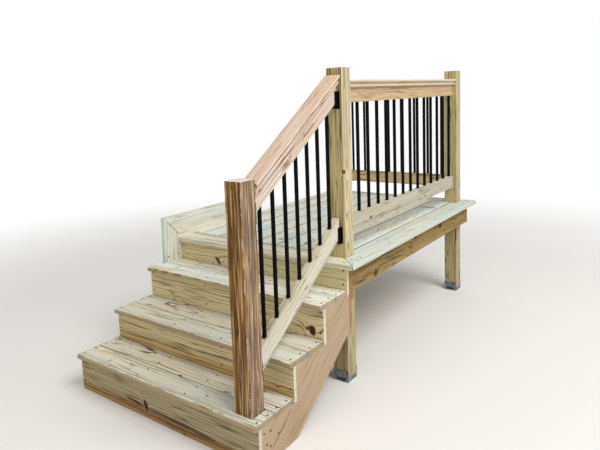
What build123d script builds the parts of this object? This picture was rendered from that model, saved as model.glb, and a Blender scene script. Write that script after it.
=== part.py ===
from build123d import *
import math
import os

# Wooden deck stairs: three treads beside a house wall climb to a small deck with a guard rail.
# X points away from the wall, Y along the wall in the climbing direction, Z up.
# The origin is on the ground under the centre of the whole footprint. Sizes are in millimetres.

# Timber stock
joist_thickness = 38.0
joist_depth = 140.0
hanger_depth = 184.0
stringer_depth = 286.0
post_size = 89.0
rail_thickness = 38.0
rail_depth = 89.0
board_width = 140.0
board_thickness = 25.0
board_edge_radius = 5.0
riser_thickness = 19.0
skirt_thickness = 25.0
timber_edge_radius = 3.0

# Stair
first_rise = 200.0
second_rise = 166.0
third_rise = 176.0
top_rise = 139.0
nosing = 25.0
tread_gap = 3.0
tread_back_gap = 3.0
top_tread_rear_board = 110.0
newel_height = 1196.0
stair_beyond_rim = 12.0
middle_stringer_pitch = 330.0
middle_stringer_from_edge = 411.0
notch_clearance = 3.0

# Deck
deck_width = 1258.0
deck_length = 1940.0
side_overhang = 60.0
far_overhang = 25.0
inner_header_thickness = 25.0
deck_gap = 5.0
joist_bays = 4
butt_seam_from_far = 403.0
butt_seam_gap = 3.0
mitre_gap = 3.0
skirt_from_wall = 14.0
skirt_run = 620.0

# Guard rail
post_above_deck = 976.0
guard_height = 915.0
cap_width = 89.0
cap_bead_height = 13.0
cap_bead_radius = 5.5
cap_neck_width = 60.0
cap_neck_height = 12.0
cap_lip_width = 71.0
cap_lip_height = 13.0
cap_plough = 10.0
bottom_rail_gap = 113.0
baluster_diameter = 19.0
deck_baluster_pitch = 117.0
far_baluster_pitch = 107.0
far_first_baluster = 38.0
stair_baluster_pitch = 95.0
stair_baluster_end = 60.0
stair_top_rail_rise = 1026.0
stair_bottom_rail_rise = 331.0

# Metalwork
bracket_plate = 3.0
bracket_margin = 12.0
bracket_reach = 30.0
bracket_height = 87.0
bracket_drop = 30.0
rail_end_gap = 14.0
base_standoff = 25.0
base_plate = 4.0
base_sheet = 3.0
base_flange_top = 62.0
base_arch_width = 52.0

# Levels above the ground
tread_1_top = first_rise
tread_2_top = tread_1_top + second_rise
tread_3_top = tread_2_top + third_rise
deck_top = tread_3_top + top_rise
tread_1_seat = tread_1_top - board_thickness
tread_2_seat = tread_2_top - board_thickness
tread_3_seat = tread_3_top - board_thickness
deck_seat = deck_top - board_thickness
frame_underside = deck_seat - joist_depth
post_top = deck_top + post_above_deck
cap_top = deck_top + guard_height
cap_thickness = cap_bead_height + cap_neck_height + cap_lip_height
cap_underside = cap_top - cap_thickness
top_rail_underside = cap_underside + cap_plough - rail_depth
bottom_rail_underside = deck_top + bottom_rail_gap
bottom_rail_top = bottom_rail_underside + rail_depth

# Places along the climb
tread_depth = 2 * board_width + tread_gap + tread_back_gap
run = tread_depth - nosing
top_tread_depth = board_width + tread_gap + top_tread_rear_board + tread_back_gap
overall_length = 2 * run + top_tread_depth - nosing + deck_length
front_y = -overall_length / 2
riser_1_y = front_y + nosing
riser_2_y = front_y + tread_depth
riser_3_y = riser_2_y + run
riser_4_y = riser_3_y - nosing + top_tread_depth
deck_front_y = riser_4_y - nosing
deck_far_y = deck_front_y + deck_length
header_y = riser_4_y + riser_thickness
inner_header_y = header_y + joist_thickness
front_post_y = inner_header_y + inner_header_thickness
far_rim_y = deck_far_y - far_overhang - joist_thickness
far_post_y = far_rim_y - post_size
newel_y = riser_1_y + riser_thickness
newel_back_y = newel_y + post_size

# Places across the stair
wall_x = -deck_width / 2
deck_edge_x = wall_x + deck_width
frame_edge_x = deck_edge_x - side_overhang
stair_edge_x = frame_edge_x + stair_beyond_rim
stair_width = stair_edge_x - wall_x
side_rim_x = frame_edge_x - joist_thickness
post_x = side_rim_x - post_size
wall_post_x = wall_x + joist_thickness
wall_post_face_x = wall_post_x + post_size
rail_x = post_x + post_size / 2
skirt_x = wall_x + skirt_from_wall
skirt_face_x = skirt_x + skirt_thickness

# Slope of the stair rails, the same as from the first tread's nosing to the deck's
rail_slope = math.atan2(deck_top - tread_1_top, deck_front_y - front_y)
slope_cos = math.cos(rail_slope)
slope_sin = math.sin(rail_slope)
low_corner = (Align.MIN, Align.MIN, Align.MIN)


# Adds a squared timber to the piece being built, from its low corner
def bar(x, y, z, size_x, size_y, size_z, mode=Mode.ADD):
    with Locations((x, y, z)):
        Box(size_x, size_y, size_z, align=low_corner, mode=mode)


# Rounds the long edges of the boards in a piece
def ease(piece, axis, radius):
    fillet(piece.edges().filter_by(axis), radius=radius)


def write(piece, label):
    piece.part.label = label
    export_step(piece.part, f"parts/{label}.step")


os.makedirs("parts", exist_ok=True)

# Deck frame: the front header, with the board behind it that carries the stringer hanger
with BuildPart() as front_header:
    bar(wall_x, header_y, frame_underside, frame_edge_x - wall_x, joist_thickness, joist_depth)
    ease(front_header, Axis.X, timber_edge_radius)
write(front_header, "front_header")

with BuildPart() as inner_header:
    bar(wall_x, inner_header_y, deck_seat - hanger_depth,
        frame_edge_x - wall_x, inner_header_thickness, hanger_depth)
    ease(inner_header, Axis.X, timber_edge_radius)
write(inner_header, "inner_header")

with BuildPart() as stringer_hanger:
    bar(wall_x, header_y, frame_underside - hanger_depth,
        frame_edge_x - wall_x, joist_thickness, hanger_depth)
    ease(stringer_hanger, Axis.X, timber_edge_radius)
write(stringer_hanger, "stringer_hanger")

with BuildPart() as far_rim:
    bar(wall_x, far_rim_y, frame_underside, frame_edge_x - wall_x, joist_thickness, joist_depth)
    ease(far_rim, Axis.X, timber_edge_radius)
write(far_rim, "far_rim")

side_length = far_rim_y - front_post_y

with BuildPart() as outer_rim:
    bar(side_rim_x, front_post_y, frame_underside, joist_thickness, side_length, joist_depth)
    ease(outer_rim, Axis.Y, timber_edge_radius)
write(outer_rim, "outer_rim")

with BuildPart() as wall_rim:
    bar(wall_x, front_post_y, frame_underside, joist_thickness, side_length, joist_depth)
    ease(wall_rim, Axis.Y, timber_edge_radius)
write(wall_rim, "wall_rim")

# Joists across the deck: one at each seam between the field boards and a border board, set
# between the posts, one under the butt seam, and the rest evenly between it and the front
front_seam_y = deck_front_y + board_width + deck_gap / 2
far_seam_y = deck_far_y - board_width - deck_gap / 2
butt_seam_y = deck_far_y - butt_seam_from_far
joist_spacing = (butt_seam_y - front_seam_y) / joist_bays

with BuildPart() as joists:
    for seam_y in (front_seam_y, far_seam_y):
        bar(wall_post_face_x, seam_y - joist_thickness / 2, frame_underside,
            post_x - wall_post_face_x, joist_thickness, joist_depth)
    for number in range(1, joist_bays + 1):
        bar(wall_post_x, front_seam_y + number * joist_spacing - joist_thickness / 2, frame_underside,
            side_rim_x - wall_post_x, joist_thickness, joist_depth)
    ease(joists, Axis.X, timber_edge_radius)
write(joists, "joists")

# Posts: all but the front one at the wall run from their metal bases up through the deck to the rail
with BuildPart() as front_outer_post:
    bar(post_x, front_post_y, base_standoff, post_size, post_size, post_top - base_standoff)
    ease(front_outer_post, Axis.Z, timber_edge_radius)
write(front_outer_post, "front_outer_post")

with BuildPart() as far_outer_post:
    bar(post_x, far_post_y, base_standoff, post_size, post_size, post_top - base_standoff)
    ease(far_outer_post, Axis.Z, timber_edge_radius)
write(far_outer_post, "far_outer_post")

with BuildPart() as front_wall_post:
    bar(wall_post_x, front_post_y, base_standoff, post_size, post_size, deck_seat - base_standoff)
write(front_wall_post, "front_wall_post")

with BuildPart() as far_wall_post:
    bar(wall_post_x, far_post_y, base_standoff, post_size, post_size, post_top - base_standoff)
    ease(far_wall_post, Axis.Z, timber_edge_radius)
write(far_wall_post, "far_wall_post")

with BuildPart() as newel_post:
    bar(post_x, newel_y, 0, post_size, post_size, newel_height)
    ease(newel_post, Axis.Z, timber_edge_radius)
write(newel_post, "newel_post")

# Post bases: a raised seat on two sheet sides, between two sheet flanges that run up the post,
# each with an arched opening at its foot
with BuildPart() as post_bases:
    for base_x in (post_x, wall_post_x):
        for base_y in (front_post_y, far_post_y):
            bar(base_x, base_y, base_standoff - base_plate, post_size, post_size, base_plate)
            for side_x in (base_x, base_x + post_size - base_sheet):
                bar(side_x, base_y, 0, base_sheet, post_size, base_standoff - base_plate)
            for flange_y in (base_y - base_sheet, base_y + post_size):
                bar(base_x, flange_y, 0, post_size, base_sheet, base_flange_top)
                bar(base_x + (post_size - base_arch_width) / 2, flange_y, base_plate, base_arch_width,
                    base_sheet, base_standoff - 2 * base_plate, mode=Mode.SUBTRACT)
write(post_bases, "post_bases")


# Adds one sawn stringer with its near face at x
def stringer(x):
    front = riser_1_y + riser_thickness
    second = riser_2_y + riser_thickness
    third = riser_3_y + riser_thickness
    back = header_y
    pitch = (tread_3_seat - tread_1_seat) / (third - front)
    lower_edge = tread_1_seat - stringer_depth * math.hypot(1, pitch)
    foot_back = front - lower_edge / pitch
    heel = lower_edge + pitch * (back - front)
    outline = [
        (front, 0),
        (front, tread_1_seat),
        (second, tread_1_seat),
        (second, tread_2_seat),
        (third, tread_2_seat),
        (third, tread_3_seat),
        (back, tread_3_seat),
        (back, heel),
        (foot_back, 0),
    ]
    with BuildSketch(Plane.YZ.offset(x)) as profile:
        with BuildLine():
            Polyline(outline, close=True)
        make_face()
    extrude(profile.sketch, amount=joist_thickness)


with BuildPart() as outer_stringer:
    stringer(stair_edge_x - joist_thickness)
write(outer_stringer, "outer_stringer")

middle_stringer_x = stair_edge_x - middle_stringer_from_edge - joist_thickness

with BuildPart() as right_middle_stringer:
    stringer(middle_stringer_x)
write(right_middle_stringer, "right_middle_stringer")

with BuildPart() as left_middle_stringer:
    stringer(middle_stringer_x - middle_stringer_pitch)
write(left_middle_stringer, "left_middle_stringer")

with BuildPart() as wall_stringer:
    stringer(wall_x)
write(wall_stringer, "wall_stringer")

# Risers, one board each
with BuildPart() as riser_1:
    bar(wall_x, riser_1_y, 0, stair_width, riser_thickness, tread_1_seat)
write(riser_1, "riser_1")

with BuildPart() as riser_2:
    bar(wall_x, riser_2_y, tread_1_seat, stair_width, riser_thickness, second_rise)
write(riser_2, "riser_2")

with BuildPart() as riser_3:
    bar(wall_x, riser_3_y, tread_2_seat, stair_width, riser_thickness, third_rise)
write(riser_3, "riser_3")

with BuildPart() as riser_4:
    bar(skirt_face_x, riser_4_y, tread_3_seat,
        stair_edge_x - skirt_face_x, riser_thickness, top_rise)
write(riser_4, "riser_4")

# Treads, two boards each; the first is notched round the newel, the third has a ripped rear board
with BuildPart() as tread_1:
    for board_y in (front_y, front_y + board_width + tread_gap):
        bar(wall_x, board_y, tread_1_seat, stair_width, board_width, board_thickness)
    ease(tread_1, Axis.X, board_edge_radius)
    bar(post_x - notch_clearance, newel_y, tread_1_seat, post_size + 2 * notch_clearance,
        front_y + board_width - newel_y, board_thickness, mode=Mode.SUBTRACT)
write(tread_1, "tread_1")

with BuildPart() as tread_2:
    for board_y in (riser_2_y - nosing, riser_2_y - nosing + board_width + tread_gap):
        bar(wall_x, board_y, tread_2_seat, stair_width, board_width, board_thickness)
    ease(tread_2, Axis.X, board_edge_radius)
write(tread_2, "tread_2")

with BuildPart() as tread_3:
    bar(wall_x, riser_3_y - nosing, tread_3_seat, stair_width, board_width, board_thickness)
    bar(wall_x, riser_4_y - tread_back_gap - top_tread_rear_board, tread_3_seat,
        stair_width, top_tread_rear_board, board_thickness)
    ease(tread_3, Axis.X, board_edge_radius)
write(tread_3, "tread_3")

# Deck boards, notched round the three posts that pass through them
notch_size = post_size + 2 * notch_clearance
border_rear_y = deck_front_y + board_width
far_border_y = deck_far_y - board_width
field_y = border_rear_y + deck_gap
field_length = far_border_y - deck_gap - field_y


# Cuts the room for the posts out of the boards of a piece
def post_notches():
    for notch_x, notch_y in ((post_x, front_post_y), (post_x, far_post_y), (wall_post_x, far_post_y)):
        bar(notch_x - notch_clearance, notch_y - notch_clearance, deck_seat,
            notch_size, notch_size, board_thickness, mode=Mode.SUBTRACT)


# Cuts the boards of a piece on the mitre at the deck's outer corner at corner_y. Inward is 1 at the
# front corner and -1 at the far one, and keep is the top side for the edge board.
def mitre(corner_y, inward, keep):
    half_gap = mitre_gap / 2 if keep == Keep.TOP else -mitre_gap / 2
    corner = Plane((deck_edge_x, corner_y, 0), z_dir=(1, inward, 0))
    split(bisect_by=corner.offset(half_gap), keep=keep)


with BuildPart() as deck_front_board:
    bar(skirt_x, deck_front_y, deck_seat, deck_edge_x - skirt_x, board_width, board_thickness)
    ease(deck_front_board, Axis.X, board_edge_radius)
    bar(skirt_x, deck_front_y, deck_seat, skirt_thickness, nosing, board_thickness,
        mode=Mode.SUBTRACT)
    post_notches()
    mitre(deck_front_y, 1, Keep.BOTTOM)
write(deck_front_board, "deck_front_board")

with BuildPart() as deck_far_board:
    bar(skirt_x, far_border_y, deck_seat, deck_edge_x - skirt_x, board_width, board_thickness)
    ease(deck_far_board, Axis.X, board_edge_radius)
    post_notches()
    mitre(deck_far_y, -1, Keep.BOTTOM)
write(deck_far_board, "deck_far_board")

with BuildPart() as deck_edge_board:
    bar(deck_edge_x - board_width, deck_front_y, deck_seat, board_width, deck_length, board_thickness)
    ease(deck_edge_board, Axis.Y, board_edge_radius)
    post_notches()
    mitre(deck_front_y, 1, Keep.TOP)
    mitre(deck_far_y, -1, Keep.TOP)
write(deck_edge_board, "deck_edge_board")

with BuildPart() as deck_field_boards:
    right_x = deck_edge_x - board_width - deck_gap
    while right_x - skirt_x > 3 * board_edge_radius:
        left_x = max(right_x - board_width, skirt_x)
        bar(left_x, field_y, deck_seat, right_x - left_x, field_length, board_thickness)
        right_x = left_x - deck_gap
    ease(deck_field_boards, Axis.Y, board_edge_radius)
    bar(deck_edge_x - 2 * board_width - deck_gap, butt_seam_y - butt_seam_gap / 2, deck_seat,
        board_width, butt_seam_gap, board_thickness, mode=Mode.SUBTRACT)
    post_notches()
write(deck_field_boards, "deck_field_boards")

# Skirt board on the wall: an upright on the third tread, mitred to a long board on the deck
skirt_low_y = riser_4_y - board_width
skirt_top = deck_top + board_width

with BuildPart() as skirt_upright:
    with BuildSketch(Plane.YZ.offset(skirt_x)) as upright_profile:
        with BuildLine():
            Polyline(
                [
                    (skirt_low_y, tread_3_top),
                    (riser_4_y, tread_3_top),
                    (riser_4_y, deck_top),
                    (skirt_low_y, skirt_top),
                ],
                close=True,
            )
        make_face()
    extrude(amount=skirt_thickness)
write(skirt_upright, "skirt_upright")

with BuildPart() as skirt_long:
    with BuildSketch(Plane.YZ.offset(skirt_x)) as long_profile:
        with BuildLine():
            Polyline(
                [
                    (riser_4_y, deck_top),
                    (riser_4_y + skirt_run, deck_top),
                    (riser_4_y + skirt_run, skirt_top),
                    (skirt_low_y, skirt_top),
                ],
                close=True,
            )
        make_face()
    extrude(amount=skirt_thickness)
write(skirt_long, "skirt_long")


# Draws the section of a plain rail, its lower edge on the sketch's own X axis
def rail_section():
    with Locations((0, rail_depth / 2)):
        RectangleRounded(rail_thickness, rail_depth, timber_edge_radius)


# Draws the section of a cap: a wide bead over a neck and a lip, ploughed below for the top rail
def cap_section():
    underside = rail_depth - cap_plough
    lip_centre = underside + cap_lip_height / 2
    bead_centre = underside + cap_thickness - cap_bead_height / 2
    with Locations((0, lip_centre)):
        RectangleRounded(cap_lip_width, cap_lip_height, timber_edge_radius)
        Rectangle(cap_neck_width, bead_centre - lip_centre, align=(Align.CENTER, Align.MIN))
    with Locations((0, bead_centre)):
        RectangleRounded(cap_width, cap_bead_height, cap_bead_radius)
    with Locations((0, underside)):
        Rectangle(rail_thickness, cap_plough, align=(Align.CENTER, Align.MIN), mode=Mode.SUBTRACT)


# Level rail on the outer side, between the two outer posts
side_start_y = front_post_y + post_size
side_rail_length = far_post_y - side_start_y
side_top_plane = Plane((rail_x, side_start_y, top_rail_underside), x_dir=(-1, 0, 0), z_dir=(0, 1, 0))
side_bottom_plane = Plane(
    (rail_x, side_start_y, bottom_rail_underside), x_dir=(-1, 0, 0), z_dir=(0, 1, 0)
)

with BuildPart() as deck_cap_rail:
    with BuildSketch(side_top_plane) as deck_cap_profile:
        cap_section()
    extrude(amount=side_rail_length)
write(deck_cap_rail, "deck_cap_rail")

with BuildPart() as deck_top_rail:
    with BuildSketch(side_top_plane) as deck_top_profile:
        rail_section()
    extrude(amount=side_rail_length)
write(deck_top_rail, "deck_top_rail")

with BuildPart() as deck_bottom_rail:
    with BuildSketch(side_bottom_plane) as deck_bottom_profile:
        rail_section()
    extrude(amount=side_rail_length)
write(deck_bottom_rail, "deck_bottom_rail")

side_count = int((side_rail_length - 2 * baluster_diameter) / deck_baluster_pitch) + 1
side_middle_y = side_start_y + side_rail_length / 2
level_baluster_height = top_rail_underside - bottom_rail_top

with BuildPart() as deck_balusters:
    with BuildSketch(Plane.XY.offset(bottom_rail_top)):
        with Locations((rail_x, side_middle_y)):
            with GridLocations(0, deck_baluster_pitch, 1, side_count):
                Circle(baluster_diameter / 2)
    extrude(amount=level_baluster_height)
write(deck_balusters, "deck_balusters")

# Level rail across the far end, between the two far posts
far_rail_y = far_post_y + post_size / 2
far_rail_length = post_x - wall_post_face_x
far_top_plane = Plane(
    (wall_post_face_x, far_rail_y, top_rail_underside), x_dir=(0, 1, 0), z_dir=(1, 0, 0)
)
far_bottom_plane = Plane(
    (wall_post_face_x, far_rail_y, bottom_rail_underside), x_dir=(0, 1, 0), z_dir=(1, 0, 0)
)

with BuildPart() as far_cap_rail:
    with BuildSketch(far_top_plane) as far_cap_profile:
        cap_section()
    extrude(amount=far_rail_length)
write(far_cap_rail, "far_cap_rail")

with BuildPart() as far_top_rail:
    with BuildSketch(far_top_plane) as far_top_profile:
        rail_section()
    extrude(amount=far_rail_length)
write(far_top_rail, "far_top_rail")

with BuildPart() as far_bottom_rail:
    with BuildSketch(far_bottom_plane) as far_bottom_profile:
        rail_section()
    extrude(amount=far_rail_length)
write(far_bottom_rail, "far_bottom_rail")

far_last_x = post_x - far_first_baluster
far_count = int((far_last_x - wall_post_face_x - far_first_baluster) / far_baluster_pitch) + 1

with BuildPart() as far_balusters:
    with BuildSketch(Plane.XY.offset(bottom_rail_top)):
        with Locations(*[(far_last_x - n * far_baluster_pitch, far_rail_y) for n in range(far_count)]):
            Circle(baluster_diameter / 2)
    extrude(amount=level_baluster_height)
write(far_balusters, "far_balusters")

# Sloping rail from the newel to the front outer post, its ends a little short of both
stair_start_y = newel_back_y + rail_end_gap
stair_end_y = front_post_y - rail_end_gap
stair_middle_y = (stair_start_y + stair_end_y) / 2
middle_climb = (stair_middle_y - newel_back_y) * math.tan(rail_slope)
stair_half_length = (stair_end_y - stair_start_y) / (2 * slope_cos) + 2 * rail_depth
stair_top_plane = Plane(
    (rail_x, stair_middle_y, stair_top_rail_rise + middle_climb),
    x_dir=(-1, 0, 0),
    z_dir=(0, slope_cos, slope_sin),
)
stair_bottom_plane = Plane(
    (rail_x, stair_middle_y, stair_bottom_rail_rise + middle_climb),
    x_dir=(-1, 0, 0),
    z_dir=(0, slope_cos, slope_sin),
)


# Cuts both ends of a sloping rail plumb
def plumb_ends():
    split(bisect_by=Plane((0, stair_start_y, 0), z_dir=(0, 1, 0)), keep=Keep.TOP)
    split(bisect_by=Plane((0, stair_end_y, 0), z_dir=(0, 1, 0)), keep=Keep.BOTTOM)


with BuildPart() as stair_cap_rail:
    with BuildSketch(stair_top_plane) as stair_cap_profile:
        cap_section()
    extrude(amount=stair_half_length, both=True)
    plumb_ends()
write(stair_cap_rail, "stair_cap_rail")

with BuildPart() as stair_top_rail:
    with BuildSketch(stair_top_plane) as stair_top_profile:
        rail_section()
    extrude(amount=stair_half_length, both=True)
    plumb_ends()
write(stair_top_rail, "stair_top_rail")

with BuildPart() as stair_bottom_rail:
    with BuildSketch(stair_bottom_plane) as stair_bottom_profile:
        rail_section()
    extrude(amount=stair_half_length, both=True)
    plumb_ends()
write(stair_bottom_rail, "stair_bottom_rail")

stair_count = int((stair_end_y - stair_start_y - 2 * stair_baluster_end) / stair_baluster_pitch) + 1
square_to_slope = (0, -slope_sin, slope_cos)
rail_up = Vector(*square_to_slope) * rail_depth

with BuildPart() as stair_balusters:
    with BuildSketch(Plane.XY):
        with Locations((rail_x, stair_middle_y)):
            with GridLocations(0, stair_baluster_pitch, 1, stair_count):
                Circle(baluster_diameter / 2)
    extrude(amount=post_top)
    split(bisect_by=Plane(stair_bottom_plane.origin + rail_up, z_dir=square_to_slope), keep=Keep.TOP)
    split(bisect_by=Plane(stair_top_plane.origin, z_dir=square_to_slope), keep=Keep.BOTTOM)
write(stair_balusters, "stair_balusters")


# Adds one bracket of the stair rail: a plate on the post's face at y and an ear on each side of
# the rail, from z up. Inward is 1 where the rail runs on towards +Y and -1 where it runs back.
def rail_bracket(y, z, inward):
    plate_width = rail_thickness + 2 * bracket_margin
    plate_y = y if inward > 0 else y - bracket_plate
    bar(rail_x - plate_width / 2, plate_y, z, plate_width, bracket_plate, bracket_height)
    ear_y = y if inward > 0 else y - bracket_reach
    for ear_x in (rail_x - rail_thickness / 2 - bracket_plate, rail_x + rail_thickness / 2):
        bar(ear_x, ear_y, z, bracket_plate, bracket_reach, bracket_height)


low_end_climb = rail_end_gap * math.tan(rail_slope)
high_end_climb = (stair_end_y - newel_back_y) * math.tan(rail_slope)

with BuildPart() as stair_rail_brackets:
    for rail_rise in (stair_top_rail_rise, stair_bottom_rail_rise):
        rail_bracket(newel_back_y, rail_rise + low_end_climb - bracket_drop, 1)
        rail_bracket(front_post_y, rail_rise + high_end_climb - bracket_drop, -1)
write(stair_rail_brackets, "stair_rail_brackets")
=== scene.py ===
import math
import random
from functools import partial

import bpy
from mathutils import Matrix, Vector


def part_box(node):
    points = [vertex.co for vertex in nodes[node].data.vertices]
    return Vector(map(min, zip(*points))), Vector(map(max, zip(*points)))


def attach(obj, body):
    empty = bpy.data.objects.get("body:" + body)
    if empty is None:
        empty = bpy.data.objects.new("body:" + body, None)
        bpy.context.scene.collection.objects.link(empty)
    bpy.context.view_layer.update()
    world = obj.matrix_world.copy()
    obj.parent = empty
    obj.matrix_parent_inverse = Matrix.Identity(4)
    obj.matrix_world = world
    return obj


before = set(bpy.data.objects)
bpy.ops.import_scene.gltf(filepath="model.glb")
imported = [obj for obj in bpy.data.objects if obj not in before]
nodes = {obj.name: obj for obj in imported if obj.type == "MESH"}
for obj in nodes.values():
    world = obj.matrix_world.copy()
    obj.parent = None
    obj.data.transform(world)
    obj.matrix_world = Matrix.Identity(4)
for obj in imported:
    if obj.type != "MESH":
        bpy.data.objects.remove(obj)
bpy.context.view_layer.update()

scene = bpy.context.scene
scene.view_settings.view_transform = "Standard"
millimetre = 0.001
white = (1, 1, 1, 1)


# A written colour, such as "#d8c9a0", as linear light
def toLinear(colour):
    parts = [int(colour[i:i + 2], 16) / 255 for i in (1, 3, 5)]
    return (*[p / 12.92 if p <= 0.04045 else ((p + 0.055) / 1.055) ** 2.4 for p in parts], 1)


# Adds one node, its settings first and then its values or links, and gives one of its outputs
def addNode(tree, kind, inputs, output=0, **settings):
    node = tree.nodes.new(kind)
    for name, value in settings.items():
        setattr(node, name, value)
    for key, value in inputs.items():
        if isinstance(value, bpy.types.NodeSocket):
            tree.links.new(value, node.inputs[key])
        else:
            node.inputs[key].default_value = value
    return None if output is None else node.outputs[output]


# A new material, with its node tree and its shader
def newMaterial(name):
    material = bpy.data.materials.new(name)
    material.use_nodes = True
    tree = material.node_tree
    return material, tree, tree.nodes["Principled BSDF"]


# The camera stands where the photograph was taken, in front of the steps and to their right
cameraSettings = {
    "place": (1.9434, -2.9886, 1.5247),
    "turn": 0.6749,  # to the left of straight along the deck, in radians
    "tilt": 0.1174,  # down
    "roll": -0.0431,
    "focalPixels": 564.07,
    "centrePixels": (252.43, 164.37),
    "imagePixels": (600, 450),
    "sensorWidth": 36,
}


def addCamera(settings):
    data = bpy.data.cameras.new("camera")
    camera = bpy.data.objects.new("camera", data)
    scene.collection.objects.link(camera)
    width, height = settings["imagePixels"]
    across, down = settings["centrePixels"]
    data.sensor_width = settings["sensorWidth"]
    data.lens = settings["sensorWidth"] * settings["focalPixels"] / width
    data.shift_x = (width / 2 - across) / width
    data.shift_y = -(height / 2 - down) / width
    turn, tilt, roll = settings["turn"], settings["tilt"], settings["roll"]
    ahead = Vector((-math.sin(turn) * math.cos(tilt), math.cos(turn) * math.cos(tilt), -math.sin(tilt)))
    level = ahead.cross(Vector((0, 0, 1))).normalized()
    upward = level.cross(ahead)
    right = level * math.cos(roll) + upward * math.sin(roll)
    top = upward * math.cos(roll) - level * math.sin(roll)
    turned = Matrix((right, top, -ahead)).transposed().to_4x4()
    camera.matrix_world = Matrix.Translation(settings["place"]) @ turned
    scene.camera = camera


addCamera(cameraSettings)
print("camera set")

# Slope of the stair, from the nosing of the first tread to the nosing of the deck
firstLow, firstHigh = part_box("tread_1")
deckLow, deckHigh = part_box("deck_front_board")
stairSlope = math.atan2(deckHigh.z - firstHigh.z, deckLow.y - firstLow.y)

directions = {
    "x": Vector((1, 0, 0)),
    "y": Vector((0, 1, 0)),
    "z": Vector((0, 0, 1)),
    "-y": Vector((0, -1, 0)),
    "slope": Vector((0, math.cos(stairSlope), math.sin(stairSlope))),
}

# Finishes of southern pine. Early wood is the soft pale part of a ring and late wood the hard dark
# line. The cast is the treatment's stain, which lies in long clouds. Side is the narrow sawn face,
# end is the end grain, and heart is the core of the log. Lines are the threads of resin, and sway
# is how far the log's centre wanders. Rings are drawn 8 to 13 mm apart, about twice their real
# distance, because finer ones wouldn't show.
finishes = {
    # Planed treated boards lying flat: nearly white, with a green cast and thin brown lines
    "treadPine": {
        "early": "#e2dac2", "late": "#755024", "cast": "#d9dfd2", "castShare": 0.7, "side": "#a08a58",
        "heartEarly": "#cdb48c", "heartLate": "#6d4518", "end": "#8a7150", "contrast": 0.9,
        "lines": 0.9, "rings": 11, "sway": 14,
    },
    "deckPine": {
        "early": "#e6e1d0", "late": "#7d6336", "cast": "#dae4dd", "castShare": 0.8, "side": "#c4bfa6",
        "heartEarly": "#d6c09a", "heartLate": "#8a622f", "end": "#8f7550", "contrast": 0.55,
        "lines": 0.6, "rings": 12, "sway": 12,
    },
    # Sawn treated boards standing on edge: greenish yellow with close olive lines
    "riserPine": {
        "early": "#dccb9c", "late": "#54401a", "cast": "#cfc798", "castShare": 0.6, "side": "#b5a472",
        "heartEarly": "#cba66a", "heartLate": "#5f3b16", "end": "#e6e0cc", "contrast": 1.0,
        "lines": 0.8, "rings": 13, "sway": 8, "shine": 0.2,
    },
    "framePine": {
        "early": "#a98c52", "late": "#4b3a18", "cast": "#9a8650", "castShare": 0.6, "side": "#8f7a4c",
        "heartEarly": "#8c6534", "heartLate": "#4a2f12", "end": "#a67a4c", "contrast": 0.95,
        "lines": 0.85, "rings": 12, "sway": 22, "shine": 0.2,
    },
    "stringerPine": {
        "early": "#c2ab8d", "late": "#7a5226", "cast": "#b9a27e", "castShare": 0.6, "side": "#a98f68",
        "heartEarly": "#b4854f", "heartLate": "#6e431c", "end": "#a08660", "contrast": 0.35,
        "lines": 0.4, "rings": 8, "sway": 30,
    },
    # The posts' side is their faces toward x, and its pale colour paints the light on their outer face
    "postPine": {
        "early": "#cfbd88", "late": "#52400f", "cast": "#c9c190", "castShare": 0.5, "side": "#dfd5ba",
        "heartEarly": "#c5a063", "heartLate": "#6d491e", "end": "#cdbb90", "contrast": 1.0,
        "lines": 0.9, "rings": 8, "sway": 14, "shine": 0.2,
    },
    # An older post, weathered brown, with a bleached top and bleached streaks 12 mm wide
    "weatheredPine": {
        "early": "#735020", "late": "#43240a", "cast": "#bd9c6c", "castShare": 0.8, "side": "#ece2d6",
        "heartEarly": "#8a652f", "heartLate": "#43240a", "end": "#efecea", "contrast": 0.9,
        "lines": 1.0, "rings": 8, "sway": 14, "castPerMetre": (3, 80, 80), "fibresPerMetre": 120,
        "streaks": 0.82, "shine": 0.2,
    },
    # Planed rails without treatment colour: pink cream, and honey where the sun has reached them
    "railPine": {
        "early": "#dfc9b0", "late": "#84491a", "cast": "#e6dbd0", "castShare": 0.7, "side": "#d2b694",
        "heartEarly": "#c8955e", "heartLate": "#7d481b", "end": "#cdb492", "contrast": 1.0,
        "lines": 1.0, "rings": 11, "sway": 16,
    },
    "palePine": {
        "early": "#d4ccb5", "late": "#83643c", "cast": "#dddccf", "castShare": 0.7, "side": "#cdbfa4",
        "heartEarly": "#c4a47a", "heartLate": "#83602f", "end": "#cdb492", "contrast": 1.0,
        "lines": 1.0, "rings": 11, "sway": 14,
    },
    "honeyPine": {
        "early": "#cfb287", "late": "#72471b", "cast": "#cfbc98", "castShare": 0.5, "side": "#bd9c6a",
        "heartEarly": "#b07e42", "heartLate": "#6e3f14", "end": "#c4a67a", "contrast": 1.0,
        "lines": 1.0, "rings": 11, "sway": 16,
    },
}
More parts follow.
